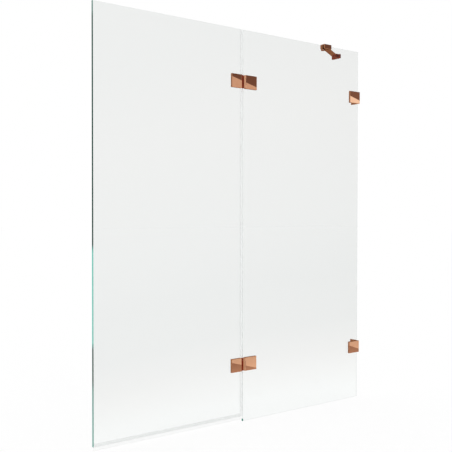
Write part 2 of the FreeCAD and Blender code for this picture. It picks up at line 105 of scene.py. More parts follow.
def linear(hex_colour: str) -> tuple[float, float, float, float]:
    """Turn an sRGB hex colour into linear RGBA.

    Args:
        hex_colour: colour as "#RRGGBB".

    Returns:
        Linear red, green and blue with an alpha of 1.
    """
    channels = [int(hex_colour[i:i + 2], 16) / 255 for i in (1, 3, 5)]
    toe, slope, lift, power = 0.04045, 12.92, 0.055, 2.4
    values = [c / slope if c <= toe else ((c + lift) / (1 + lift)) ** power for c in channels]
    return (*values, 1.0)


def add_node(tree: bpy.types.NodeTree, kind: str, settings: dict[str, Any] | None = None,
             inputs: dict[str | int, Any] | None = None) -> bpy.types.Node:
    """Add a node with its settings, values and links.

    Args:
        tree: node tree that gets the node.
        kind: Blender's name of the node type.
        settings: properties of the node.
        inputs: for each input socket, a value or the output socket that feeds it.

    Returns:
        The new node.
    """
    node = tree.nodes.new(kind)
    for name, value in (settings or {}).items():
        setattr(node, name, value)
    for key, value in (inputs or {}).items():
        if isinstance(value, bpy.types.NodeSocket):
            tree.links.new(value, node.inputs[key])
        else:
            node.inputs[key].default_value = value
    return node


def set_stops(ramp: bpy.types.ColorRamp, stops: list[tuple[float, tuple]]) -> None:
    """Set a colour ramp's stops.

    Args:
        ramp: ramp to set.
        stops: place from 0 to 1 and linear colour of each stop, in order.
    """
    while len(ramp.elements) < len(stops):
        ramp.elements.new(1.0)
    for element, (place, colour) in zip(ramp.elements, stops):
        element.position = place
        element.color = colour


def new_material(name: str) -> tuple[bpy.types.Material, bpy.types.NodeTree]:
    """Make an empty node material.

    Args:
        name: what the real material is.

    Returns:
        The material and its cleared node tree.
    """
    material = bpy.data.materials.new(name)
    material.use_nodes = True
    material.node_tree.nodes.clear()
    return material, material.node_tree


def output(tree: bpy.types.NodeTree, shader: bpy.types.Node) -> None:
    """Send a shader to the surface output."""
    add_node(tree, "ShaderNodeOutputMaterial", inputs={"Surface": shader.outputs[0]})


def object_noise(tree: bpy.types.NodeTree, grain_mm: float, detail: float,
                 stretch: tuple[float, float, float] = (1.0, 1.0, 1.0)) -> bpy.types.Node:
    """Add noise in object space at a real grain size.

    Args:
        tree: node tree that gets the noise.
        grain_mm: size of one grain in millimetres.
        detail: octaves of finer noise.
        stretch: how much longer the grain is along each axis.

    Returns:
        The noise node.
    """
    place = add_node(tree, "ShaderNodeTexCoord")
    scaled = add_node(tree, "ShaderNodeMapping", {"vector_type": "POINT"},
                      {"Vector": place.outputs["Object"], "Scale": [1 / s for s in stretch]})
    return add_node(tree, "ShaderNodeTexNoise", {"noise_dimensions": "3D"},
                    {"Vector": scaled.outputs[0], "Scale": 1 / (grain_mm * MM), "Detail": detail})


def spread(tree: bpy.types.NodeTree, value: bpy.types.NodeSocket, low: float,
           high: float) -> bpy.types.Node:
    """Map a noise value to a range.

    Args:
        tree: node tree that gets the node.
        value: output of a noise texture.
        low: result at the low end.
        high: result at the high end.

    Returns:
        The map range node.
    """
    return add_node(tree, "ShaderNodeMapRange", {"clamp": True},
                    {"Value": value, "From Min": NOISE_LOW, "From Max": NOISE_HIGH,
                     "To Min": low, "To Max": high})


@dataclass(frozen=True)
class FloatGlass:
    """Clear toughened float glass with fire-polished faces and machine-polished edges.

    The faces are almost clear with a faint green-grey. Along the free edge the eye looks through the
    depth of the sheet, so it shows teal; its brighter and darker stretches are painted reflections,
    set by height. The other edges are pale.
    """

    name: str = "clear_float_glass"
    tint: str = "#F6F8F7"
    pale: str = "#F9FBFA"
    inner: str = "#E6EAE9"
    ior: float = 1.52
    roughness: float = 0.0
    edge_clear: float = 0.0
    edge_ior: float = 1.0
    edge_roughness: float = 0.12
    edge_limit: float = 0.3
    arris_limit: float = 0.9
    edge_band: float = 1.0 * MM
    # Free edge colour by height: teal depth colour, with the brighter and darker stretches painted
    # reflections.
    stops: tuple[tuple[float, str], ...] = (
        (0.00, "#6FA99C"), (0.12, "#579488"), (0.15, "#1F4A3C"), (0.22, "#1F4A42"),
        (0.235, "#6FC4B4"), (0.44, "#6FC4B4"), (0.455, "#173F34"), (0.965, "#34554C"),
        (0.98, "#6F8F87"))

    def free_edge(self, tree: bpy.types.NodeTree, point: bpy.types.Node, left_x: float,
                  teal: tuple[float, float]) -> bpy.types.Node:
        """Mark the stretch of the left edge that shows its depth colour.

        Args:
            tree: node tree that gets the nodes.
            point: separated object coordinates.
            left_x: place of the panel's left edge.
            teal: heights between which the edge shows its depth colour.

        Returns:
            Node that gives 1 on that stretch.
        """
        left = add_node(tree, "ShaderNodeMath", {"operation": "LESS_THAN"},
                        {0: point.outputs["X"], 1: left_x + self.edge_band})
        above = add_node(tree, "ShaderNodeMath", {"operation": "GREATER_THAN"},
                         {0: point.outputs["Z"], 1: teal[0]})
        below = add_node(tree, "ShaderNodeMath", {"operation": "LESS_THAN"},
                         {0: point.outputs["Z"], 1: teal[1]})
        band = add_node(tree, "ShaderNodeMath", {"operation": "MULTIPLY"},
                        {0: above.outputs[0], 1: below.outputs[0]})
        return add_node(tree, "ShaderNodeMath", {"operation": "MULTIPLY"},
                        {0: band.outputs[0], 1: left.outputs[0]})

    def edge_faces(self, tree: bpy.types.NodeTree, place: bpy.types.Node,
                   free: bpy.types.Node) -> bpy.types.Node:
        """Mark the panel's edge faces, and on the free stretch their arrises too.

        Args:
            tree: node tree that gets the nodes.
            place: texture coordinates.
            free: 1 on the free stretch.

        Returns:
            Node that gives 1 on the edge faces.
        """
        normal = add_node(tree, "ShaderNodeSeparateXYZ", inputs={0: place.outputs["Normal"]})
        across = add_node(tree, "ShaderNodeMath", {"operation": "ABSOLUTE"}, {0: normal.outputs["Y"]})
        limit = add_node(tree, "ShaderNodeMapRange", inputs={"Value": free.outputs[0],
                                                            "To Min": self.edge_limit,
                                                            "To Max": self.arris_limit})
        return add_node(tree, "ShaderNodeMath", {"operation": "LESS_THAN"},
                        {0: across.outputs[0], 1: limit.outputs[0]})

    @staticmethod
    def shading_normal(tree: bpy.types.NodeTree, place: bpy.types.Node,
                       side: bpy.types.Node) -> bpy.types.Node:
        """Make everything but the edge faces shade as flat as the panel's faces.

        Args:
            tree: node tree that gets the nodes.
            place: texture coordinates.
            side: 1 on the edge faces.

        Returns:
            Node that gives the normal in world space.
        """
        flat = add_node(tree, "ShaderNodeVectorMath", {"operation": "MULTIPLY"},
                        {0: place.outputs["Normal"], 1: (0.0, 1.0, 0.0)})
        facing = add_node(tree, "ShaderNodeMix", {"data_type": "VECTOR"},
                          {0: side.outputs[0], 4: flat.outputs[0], 5: place.outputs["Normal"]})
        unit = add_node(tree, "ShaderNodeVectorMath", {"operation": "NORMALIZE"},
                        {0: facing.outputs[1]})
        return add_node(tree, "ShaderNodeVectorTransform",
                        {"vector_type": "NORMAL", "convert_from": "OBJECT", "convert_to": "WORLD"},
                        {0: unit.outputs[0]})

    def edge_colour(self, tree: bpy.types.NodeTree, point: bpy.types.Node, free: bpy.types.Node,
                    low_z: float, high_z: float) -> bpy.types.Node:
        """Colour the edges: teal depth colour with painted reflections up the free stretch, pale
        elsewhere.

        Args:
            tree: node tree that gets the nodes.
            point: separated object coordinates.
            free: 1 on the free stretch.
            low_z: height of the panel's foot.
            high_z: height of the panel's top.

        Returns:
            Node that gives the colour.
        """
        height = add_node(tree, "ShaderNodeMapRange", {"clamp": True},
                          {"Value": point.outputs["Z"], "From Min": low_z, "From Max": high_z})
        # Painted reflections: the ramp's brighter and darker stretches are set by height, not by the
        # surroundings.
        ramp = add_node(tree, "ShaderNodeValToRGB", inputs={0: height.outputs[0]})
        set_stops(ramp.color_ramp, [(p, linear(c)) for p, c in self.stops])
        return add_node(tree, "ShaderNodeMix", {"data_type": "RGBA"},
                        {0: free.outputs[0], 6: linear(self.pale), 7: ramp.outputs[0]})

    def material(self, low: Vector, high: Vector, teal: tuple[float, float]) -> bpy.types.Material:
        """Build the glass of one panel.

        Args:
            low: lowest corner of the panel.
            high: highest corner of the panel.
            teal: heights between which the left edge shows its depth colour uncovered.

        Returns:
            The panel's material.
        """
        made, tree = new_material(self.name)
        place = add_node(tree, "ShaderNodeTexCoord")
        point = add_node(tree, "ShaderNodeSeparateXYZ", inputs={0: place.outputs["Object"]})
        free = self.free_edge(tree, point, low.x, teal)
        side = self.edge_faces(tree, place, free)
        shading = self.shading_normal(tree, place, side)
        depth = self.edge_colour(tree, point, free, low.z, high.z)
        inside = add_node(tree, "ShaderNodeNewGeometry")
        outer = add_node(tree, "ShaderNodeMath", {"operation": "SUBTRACT"},
                         {0: side.outputs[0], 1: inside.outputs["Backfacing"]})
        seen = add_node(tree, "ShaderNodeMath", {"operation": "MAXIMUM"}, {0: outer.outputs[0], 1: 0.0})
        from_inside = add_node(tree, "ShaderNodeMath", {"operation": "MULTIPLY"},
                               {0: side.outputs[0], 1: inside.outputs["Backfacing"]})
        body = add_node(tree, "ShaderNodeMix", {"data_type": "RGBA"},
                        {0: from_inside.outputs[0], 6: linear(self.tint), 7: linear(self.inner)})
        colour = add_node(tree, "ShaderNodeMix", {"data_type": "RGBA"},
                          {0: seen.outputs[0], 6: body.outputs[2], 7: depth.outputs[2]})
        clear = add_node(tree, "ShaderNodeMapRange", inputs={"Value": seen.outputs[0], "To Min": 1.0,
                                                            "To Max": self.edge_clear})
        rough = add_node(tree, "ShaderNodeMapRange", inputs={"Value": seen.outputs[0],
                                                            "To Min": self.roughness,
                                                            "To Max": self.edge_roughness})
        bend = add_node(tree, "ShaderNodeMapRange", inputs={"Value": side.outputs[0],
                                                           "To Min": self.ior,
                                                           "To Max": self.edge_ior})
        shader = add_node(tree, "ShaderNodeBsdfPrincipled",
                          inputs={"Base Color": colour.outputs[2],
                                  "Transmission Weight": clear.outputs[0],
                                  "Roughness": rough.outputs[0], "IOR": bend.outputs[0],
                                  "Normal": shading.outputs[0]})
        output(tree, shader)
        return made


@dataclass(frozen=True)
class CopperPlate:
    """Brass, polished and plated in rose copper under a clear lacquer.

    It mirrors its surroundings in a warm pink-brown, and buffing leaves a faint uneven gloss. The
    buffing lines are drawn coarser than real ones, which would be too fine to show.
    Inside a given box, such as the groove between a hinge leaf and its barrel, the plate gets painted
    shade: a dark red colour and a rougher gloss stand in for the shade there.
    """

    name: str = "polished_copper_plate"
    colour: str = "#D4A07D"
    deep: str = "#C98F6A"
    deep_share: float = 0.35
    roughness: tuple[float, float] = (0.006, 0.018)
    cloud_mm: float = 14.0
    buff_mm: float = 0.6
    buff_stretch: tuple[float, float, float] = (1.0, 1.0, 6.0)
    buff_height_mm: float = 0.0008
    buff_strength: float = 0.1
    # Painted shade: colour and roughness that stand in for the shade in grooves and recesses.
    painted_shade: str = "#B4593C"
    painted_shade_roughness: float = 0.35

    def material(self, groove: tuple[Vector, Vector] | None = None) -> bpy.types.Material:
        """Build the copper plate's material.

        Args:
            groove: corners of an upright box that gets painted shade, if the piece has one.

        Returns:
            The piece's material.
        """
        made, tree = new_material(self.name)
        cloud = object_noise(tree, self.cloud_mm, detail=3.0)
        tone = spread(tree, cloud.outputs[0], 0.0, self.deep_share)
        colour = add_node(tree, "ShaderNodeMix", {"data_type": "RGBA"},
                          {0: tone.outputs[0], 6: linear(self.colour), 7: linear(self.deep)})
        gloss = spread(tree, cloud.outputs[0], *self.roughness)
        plate, shine = colour.outputs[2], gloss.outputs[0]
        if groove:
            # Painted shade inside the box: dark red colour and rougher gloss.
            painted_shade_mask = self.within(tree, *groove)
            painted_shade_colour = add_node(tree, "ShaderNodeMix", {"data_type": "RGBA"},
                             {0: painted_shade_mask.outputs[0], 6: plate, 7: linear(self.painted_shade)})
            softer = add_node(tree, "ShaderNodeMix", {"data_type": "FLOAT"},
                              {0: painted_shade_mask.outputs[0], 2: shine, 3: self.painted_shade_roughness})
            plate, shine = painted_shade_colour.outputs[2], softer.outputs[0]
        buffing = object_noise(tree, self.buff_mm, detail=1.0, stretch=self.buff_stretch)
        bump = add_node(tree, "ShaderNodeBump", inputs={"Height": buffing.outputs[0],
                                                       "Strength": self.buff_strength,
                                                       "Distance": self.buff_height_mm * MM})
        shader = add_node(tree, "ShaderNodeBsdfPrincipled",
                          inputs={"Base Color": plate, "Metallic": 1.0, "Roughness": shine,
                                  "Normal": bump.outputs[0]})
        output(tree, shader)
        return made

    @staticmethod
    def within(tree: bpy.types.NodeTree, low: Vector, high: Vector) -> bpy.types.Node:
        """Tell points inside an upright box from those outside it.

        Args:
            tree: node tree that gets the nodes.
            low: lowest corner of the box.
            high: highest corner of the box.

        Returns:
            Node that gives 1 inside the box, at any height.
        """
        place = add_node(tree, "ShaderNodeTexCoord")
        point = add_node(tree, "ShaderNodeSeparateXYZ", inputs={0: place.outputs["Object"]})
        middle, half = (low + high) / 2, (high - low) / 2
        in_x = add_node(tree, "ShaderNodeMath", {"operation": "COMPARE"},
                        {0: point.outputs["X"], 1: middle.x, 2: half.x})
        in_y = add_node(tree, "ShaderNodeMath", {"operation": "COMPARE"},
                        {0: point.outputs["Y"], 1: middle.y, 2: half.y})
        return add_node(tree, "ShaderNodeMath", {"operation": "MULTIPLY"},
                        {0: in_x.outputs[0], 1: in_y.outputs[0]})


@dataclass(frozen=True)
class PlainFinish:
    """Finish of a small piece: one base colour, clouded, with its own gloss and grain."""

    name: str
    colour: str
    cloud_colour: str
    cloud_mm: float
    roughness: tuple[float, float]
    grain_mm: float
    grain_height_mm: float
    metallic: float = 0.0
    grain_strength: float = 0.4

    def material(self) -> bpy.types.Material:
        """Build the piece's material.

        Returns:
            The material.
        """
        made, tree = new_material(self.name)
        cloud = object_noise(tree, self.cloud_mm, detail=2.0)
        tone = spread(tree, cloud.outputs[0], 0.0, 1.0)
        colour = add_node(tree, "ShaderNodeMix", {"data_type": "RGBA"},
                          {0: tone.outputs[0], 6: linear(self.colour), 7: linear(self.cloud_colour)})
        grain = object_noise(tree, self.grain_mm, detail=2.0)
        gloss = spread(tree, grain.outputs[0], *self.roughness)
        bump = add_node(tree, "ShaderNodeBump", inputs={"Height": grain.outputs[0],
                                                       "Strength": self.grain_strength,
                                                       "Distance": self.grain_height_mm * MM})
        shader = add_node(tree, "ShaderNodeBsdfPrincipled",
                          inputs={"Base Color": colour.outputs[2], "Metallic": self.metallic,
                                  "Roughness": gloss.outputs[0], "Normal": bump.outputs[0]})
        output(tree, shader)
        return made


@dataclass(frozen=True)
class ClearVinyl:
    """Clear soft PVC, extruded: nearly water-clear, with faint drawn lines along its length."""

    name: str = "clear_extruded_vinyl"
    colour: str = "#EEF1F0"
    alpha: float = 0.11
    ior: float = 1.53
    roughness: tuple[float, float] = (0.08, 0.2)
    line_mm: float = 0.5
    line_length: float = 60.0

    def material(self, along: Vector) -> bpy.types.Material:
        """Build the vinyl of one seal.

        Args:
            along: direction in which the seal was extruded.

        Returns:
            The seal's material.
        """
        made, tree = new_material(self.name)
        stretch = tuple(1.0 + (self.line_length - 1.0) * abs(part) for part in along)
        drawn = object_noise(tree, self.line_mm, detail=1.0, stretch=stretch)
        gloss = spread(tree, drawn.outputs[0], *self.roughness)
        shader = add_node(tree, "ShaderNodeBsdfPrincipled",
                          inputs={"Base Color": linear(self.colour), "Alpha": self.alpha,
                                  "IOR": self.ior, "Roughness": gloss.outputs[0]})
        output(tree, shader)
        return made


# Turned stainless steel: grey, with a soft uneven shine.
STAINLESS = PlainFinish("turned_stainless_steel", "#A9A9A7", "#969694", 3.0, (0.22, 0.38), 0.3, 0.02,
                        metallic=1.0)
# Pressed sheet rubber: dull, black and very slightly pitted.
SHEET_RUBBER = PlainFinish("black_sheet_rubber", "#17120F", "#1E1916", 6.0, (0.6, 0.75), 0.8, 0.05)
# Natural nylon, moulded: milky, with a soft shine.
NATURAL_NYLON = PlainFinish("natural_nylon", "#E4E1D6", "#DAD6C9", 4.0, (0.35, 0.5), 0.6, 0.03)


def piece_object(name: str, shape: bmesh.types.BMesh, body: str,
                 material: bpy.types.Material, nodes: tuple[str, ...]) -> bpy.types.Object:
    """Turn a finished bmesh into a piece that rides on a body and stands for solids.

    Args:
        name: the piece's name.
        shape: finished bmesh, which is freed.
        body: body that the piece moves with.
        material: the piece's material.
        nodes: solids that the piece stands for.

    Returns:
        The new object.
    """
    bmesh.ops.recalc_face_normals(shape, faces=shape.faces[:])
    mesh = bpy.data.meshes.new(name)
    shape.to_mesh(mesh)
    shape.free()
    mesh.materials.append(material)
    made = bpy.data.objects.new(name, mesh)
    bpy.context.scene.collection.objects.link(made)
    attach(made, body)
    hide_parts(*nodes)
    log.info("piece %s rides on %s, %d faces", name, body, len(mesh.polygons))
    return made


def dress(node: str, material: bpy.types.Material) -> bpy.types.Object:
    """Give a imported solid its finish.

    Args:
        node: name of the solid.
        material: its finish.

    Returns:
        The solid's object.
    """
    solid = frame["nodes"][node]
    solid.data.materials.clear()
    solid.data.materials.append(material)
    log.info("solid %s has %s", node, material.name)
    return solid


@dataclass
class GlassPanels:
    """The fixed panel and the swing panel."""

    swing: FloatGlass = field(default_factory=FloatGlass)
    fixed: FloatGlass = field(
        default_factory=lambda: FloatGlass(stops=((0.0, "#2B7F6D"), (1.0, "#2B7F6D"))))
    foot: float = 8.4 * MM

    def build(self) -> None:
        """Dress both panels; the fixed one shows its depth colour only at the foot of its left edge."""
        low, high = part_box("swing_glass")
        dress("swing_glass", self.swing.material(low, high, (low.z, high.z)))
        low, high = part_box("fixed_glass")
        dress("fixed_glass", self.fixed.material(low, high, (low.z, low.z + self.foot)))


@dataclass
class JointSeal:
    """Clear channel on the hinge edge of the swing panel, with a lip towards the fixed panel."""

    finish: ClearVinyl = field(default_factory=lambda: ClearVinyl(alpha=0.06))
    leg: float = 6.0 * MM
    wall: float = 0.9 * MM
    lip: float = 1.2 * MM
    lip_gap: float = 1.0 * MM
    end_gap: float = 1.0 * MM
    glass_gap: float = 0.05 * MM
    edge_r: float = 0.3 * MM

    def lengths(self) -> list[tuple[float, float]]:
        """Find the lengths that the hinges leave free.

        Returns:
            Lower and upper end of each length.
        """
        starts = [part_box("bottom_seal")[1].z]
        ends = []
        for level in reversed(LEVELS):
            low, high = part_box(level + "_swing_leaf")
            ends.append(low.z - self.end_gap)
            starts.append(high.z)
        ends.append(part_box("swing_glass")[1].z)
        return [(start + self.end_gap, end) for start, end in zip(starts, ends)]

    def outline(self) -> list[tuple[float, float]]:
        """Draw the section, from the front leg's tip round to the back one.

        Returns:
            X and Y of each corner.
        """
        glass_low, glass_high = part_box("swing_glass")
        edge = glass_high.x
        half = (glass_high.y - glass_low.y) / 2
        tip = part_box("fixed_glass")[0].x - self.lip_gap
        outer = half + self.wall
        inner = half + self.glass_gap
        base = edge + self.wall
        half_lip = self.lip / 2
        front = [(edge - self.leg, -inner), (edge - self.leg, -outer), (base, -outer),
                 (base, -half_lip), (tip, -half_lip)]
        back = [(x, -y) for x, y in reversed(front)]
        return front + back + [(edge + self.glass_gap, inner), (edge + self.glass_gap, -inner)]

    def build(self) -> bpy.types.Object:
        """Model the three lengths and dress them.

        Returns:
            The seal.
        """
        shape = bmesh.new()
        for low, high in self.lengths():
            corners = [shape.verts.new((x, y, low)) for x, y in self.outline()]
            section = shape.faces.new(corners)
            grown = bmesh.ops.extrude_face_region(shape, geom=[section], use_keep_orig=True)
            top = [v for v in grown["geom"] if isinstance(v, bmesh.types.BMVert)]
            bmesh.ops.translate(shape, verts=top, vec=(0.0, 0.0, high - low))
        upright = [e for e in shape.edges if abs(e.verts[0].co.z - e.verts[1].co.z) > self.leg]
        bmesh.ops.bevel(shape, geom=upright, offset=self.edge_r, offset_type="OFFSET", segments=2,
                        profile=0.5, affect="EDGES", material=-1, clamp_overlap=True)
        return piece_object("joint_seal_extrusion", shape, "swing_panel",
                            self.finish.material(Vector((0.0, 0.0, 1.0))), ("joint_seal",))


@dataclass
class BottomSeal:
    """Clear channel under the swing panel, with a thin fin that curves towards the rim."""

    finish: ClearVinyl = field(default_factory=ClearVinyl)
    wall: float = 0.9 * MM
    base: float = 1.5 * MM
    fin: float = 0.8 * MM
    fin_sweep: float = math.radians(24.0)
    fin_steps: int = 6
    glass_gap: float = 0.05 * MM

    def outline(self) -> list[tuple[float, float]]:
        """Draw the channel's section, with the fin's root at the bottom.

        Returns:
            Y and Z of each corner.
        """
        glass_low, glass_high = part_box("swing_glass")
        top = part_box("bottom_seal")[1].z
        half = (glass_high.y - glass_low.y) / 2
        inner = half + self.glass_gap
        outer = half + self.wall
        floor = glass_low.z - self.glass_gap
        under = glass_low.z - self.base
        front = [(-self.fin / 2, under), (-outer, under), (-outer, top), (-inner, top),
                 (-inner, floor)]
        return front + [(-y, z) for y, z in reversed(front)]

    def build(self) -> bpy.types.Object:
        """Model the channel and its fin and dress them.

        Returns:
            The seal.
        """
        low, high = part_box("bottom_seal")
        shape = bmesh.new()
        corners = [shape.verts.new((low.x, y, z)) for y, z in self.outline()]
        section = shape.faces.new(corners)
        grown = bmesh.ops.extrude_face_region(shape, geom=[section], use_keep_orig=True)
        far = [v for v in grown["geom"] if isinstance(v, bmesh.types.BMVert)]
        bmesh.ops.translate(shape, verts=far, vec=(high.x - low.x, 0.0, 0.0))
        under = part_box("swing_glass")[0].z - self.base
        root = [f for f in shape.faces
                if all(abs(v.co.z - under) < SAME_PLACE and abs(v.co.y) < self.fin for v in f.verts)]
        radius = (under - low.z) / math.sin(self.fin_sweep)
        bmesh.ops.spin(shape, geom=root, cent=(0.0, radius, under), axis=(1.0, 0.0, 0.0),
                       angle=self.fin_sweep, steps=self.fin_steps, use_merge=False)
        return piece_object("bottom_seal_extrusion", shape, "swing_panel",
                            self.finish.material(Vector((1.0, 0.0, 0.0))), ("bottom_seal",))


@dataclass
class Hardware:
    """Every copper, steel, nylon and rubber piece of the hinges, wall clamps and brace."""

    copper: CopperPlate = field(default_factory=CopperPlate)
    copper_group: str = "copper_pieces"
    barrel_r: float = 5.0 * MM
    groove_w: float = 8.9 * MM
    groove_lap: float = 0.6 * MM
    groove_front: float = 3.3 * MM

    def groove(self, level: str) -> tuple[Vector, Vector]:
        """Give the corners of the groove between a swing leaf and its barrel.

        Args:
            level: which hinge.

        Returns:
            Lowest and highest corner.
        """
        low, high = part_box(level + "_swing_leaf")
        barrel_left = high.x - 2 * self.barrel_r
        return (Vector((barrel_left - self.groove_w, low.y + self.groove_front, low.z)),
                Vector((barrel_left + self.groove_lap, high.y, high.z)))

    def build(self) -> bpy.types.Collection:
        """Dress each piece by its record slot.

        Returns:
            Collection of the copper pieces, for lights that only they mirror.
        """
        finishes = {
            Slot.COPPER.value: self.copper.material(),
            Slot.STEEL.value: STAINLESS.material(),
            Slot.GASKET.value: SHEET_RUBBER.material(),
            Slot.NYLON.value: NATURAL_NYLON.material(),
        }
        # Painted shade on the grooves beside the swing leaves and on the whole brace wall foot.
        painted_shade = {level + "_swing_leaf": self.groove(level) for level in LEVELS}
        painted_shade["brace_wall_foot"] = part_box("brace_wall_foot")
        group = bpy.data.collections.new(self.copper_group)
        for part in frame["record"]["subparts"]:
            node, slot = part["node"], part["material_slot"]
            if slot in (Slot.GLASS.value, Slot.VINYL.value):
                continue
            finish = self.copper.material(painted_shade[node]) if node in painted_shade else finishes[slot]
            solid = dress(node, finish)
            if slot == Slot.COPPER.value:
                group.objects.link(solid)
        return group


@dataclass
class PhotoCamera:
    """Camera at the photograph's viewing angle, in millimetres and degrees."""

    place_mm: tuple[float, float, float] = (-2284.7, -2067.7, 744.0)
    yaw: float = 37.8527
    pitch: float = -0.9334
    roll: float = 0.0581
    focal_px: float = 744.57
    frame_px: float = 452.0
    sensor_mm: float = 36.0

    def place(self) -> Vector:
        """Give the camera's place in metres."""
        return Vector(self.place_mm) * MM

    def build(self) -> bpy.types.Object:
        """Make the camera and set it as the scene's.

        Returns:
            The camera.
        """
        yaw, pitch, roll = (math.radians(a) for a in (self.yaw, self.pitch, self.roll))
        ahead = Vector((math.sin(yaw) * math.cos(pitch), math.cos(yaw) * math.cos(pitch),
                        math.sin(pitch)))
        level = Vector((math.cos(yaw), -math.sin(yaw), 0.0))
        upright = level.cross(ahead)
        right = level * math.cos(roll) + upright * math.sin(roll)
        up = upright * math.cos(roll) - level * math.sin(roll)
        data = bpy.data.cameras.new("photo_camera")
        data.sensor_width = self.sensor_mm
        data.lens = self.focal_px / self.frame_px * self.sensor_mm
        made = bpy.data.objects.new("photo_camera", data)
        made.matrix_world = (Matrix.Translation(self.place())
                             @ Matrix((right, up, -ahead)).transposed().to_4x4())
        bpy.context.scene.collection.objects.link(made)
        bpy.context.scene.camera = made
        return made


def area_card(name: str, middle: Vector, along: Vector, across: Vector, size: tuple[float, float],
              glow: float, colour: str, mirrors: bpy.types.Collection) -> bpy.types.Object:
    """Make a bright card as an area lamp that the camera doesn't see.

    Args:
        name: the card's name.
        middle: place of its middle.
        along: direction of its width.
        across: direction of its height; it shines away from the cross product of the two.
        size: its width and height.
        glow: its brightness.
        colour: its colour.
        mirrors: pieces that it lights.

    Returns:
        The lamp.
    """
    lamp = bpy.data.lights.new(name, "AREA")
    lamp.shape = "RECTANGLE"
    lamp.size, lamp.size_y = size
    lamp.color = linear(colour)[:3]
    lamp.energy = glow * WATTS_PER_GLOW * lamp.size * lamp.size_y
    made = bpy.data.objects.new(name, lamp)
    made.matrix_world = (Matrix.Translation(middle)
                         @ Matrix((along, across, along.cross(across))).transposed().to_4x4())
    made.visible_camera = False
    made.light_linking.receiver_collection = mirrors
    bpy.context.scene.collection.objects.link(made)
    return made


@dataclass
class SlantedCard:
    """Bright card in front of the screen that only the copper mirrors.

    Its slanted edge is given by where its reflection crosses the front of a flat fitting.
    """

    name: str
    left_node: str
    right_node: str
    left_z_mm: float
    right_z_mm: float
    side: Side
    glow: float
    colour: str
    margin: float = 3.0 * MM
    height: float = 1.0
    plane_y: float = -3.0

    def reflected(self, eye: Vector, point: Vector) -> Vector:
        """Give the place on the card's plane that a point of the plate mirrors.

        Args:
            eye: the camera's place.
            point: point on the plate's front face.

        Returns:
            The mirrored place.
        """
        ray = point - eye
        far = (point.y - self.plane_y) / ray.y
        return Vector((point.x + ray.x * far, self.plane_y, point.z + ray.z * far))

    def build(self, eye: Vector, group: bpy.types.Collection) -> bpy.types.Object:
        """Make the card as an area lamp.

        Args:
            eye: the camera's place.
            group: pieces that mirror it.

        Returns:
            The lamp.
        """
        left_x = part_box(self.left_node)[0].x - self.margin
        right_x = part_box(self.right_node)[1].x + self.margin
        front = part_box("upper_clamp_plate")[0].y
        left = self.reflected(eye, Vector((left_x, front, self.left_z_mm * MM)))
        right = self.reflected(eye, Vector((right_x, front, self.right_z_mm * MM)))
        along = (right - left).normalized()
        across = Vector((0.0, -1.0, 0.0)).cross(along)
        middle = (left + right) / 2 + across * (self.side.value * self.height / 2)
        return area_card(self.name, middle, along, across, ((right - left).length, self.height),
                         self.glow, self.colour, group)


@dataclass
class SideCard:
    """Upright bright card beside the screen that only one hinge mirrors, in the side of its barrel."""

    name: str
    level: str
    x: float
    y: tuple[float, float]
    z: tuple[float, float]
    glow: float
    colour: str

    def build(self) -> bpy.types.Object:
        """Make the card as an area lamp that shines towards the hinge.

        Returns:
            The lamp.
        """
        leaves = bpy.data.collections.new(self.name + "_leaves")
        for side in ("swing", "fixed"):
            leaves.objects.link(frame["nodes"][f"{self.level}_{side}_leaf"])
        along = Vector((0.0, math.copysign(1.0, self.x), 0.0))
        middle = Vector((self.x, sum(self.y) / 2, sum(self.z) / 2))
        size = (self.y[1] - self.y[0], self.z[1] - self.z[0])
        return area_card(self.name, middle, along, Vector((0.0, 0.0, 1.0)), size, self.glow,
                         self.colour, leaves)


SLANTED_CARDS = (
    SlantedCard("upper_hinge_card", "upper_swing_leaf", "upper_fixed_leaf", left_z_mm=1228.5,
                right_z_mm=1198.5, side=Side.BELOW, glow=0.565, colour="#F6FCFF"),
    SlantedCard("upper_clamp_card", "upper_clamp_plate", "upper_clamp_plate", left_z_mm=1218.0,
                right_z_mm=1202.0, side=Side.BELOW, glow=1.24, colour="#D9F0FF"),
    SlantedCard("lower_hinge_card", "lower_swing_leaf", "lower_fixed_leaf", left_z_mm=218.6,
                right_z_mm=186.3, side=Side.ABOVE, glow=0.53, colour="#E2F6FF"),
    SlantedCard("lower_clamp_card", "lower_clamp_plate", "lower_clamp_plate", left_z_mm=215.5,
                right_z_mm=194.5, side=Side.ABOVE, glow=0.53, colour="#E7F7FF"),
)
SIDE_CARDS = (
    SideCard("upper_barrel_card", "upper", x=1.9, y=(-2.4, 3.0), z=(1.1, 2.6), glow=1.1,
             colour="#F6FCFF"),
    SideCard("lower_barrel_card", "lower", x=-3.1, y=(-2.1, -0.1), z=(-1.0, 0.2), glow=0.5,
             colour="#FFF0E4"),
)


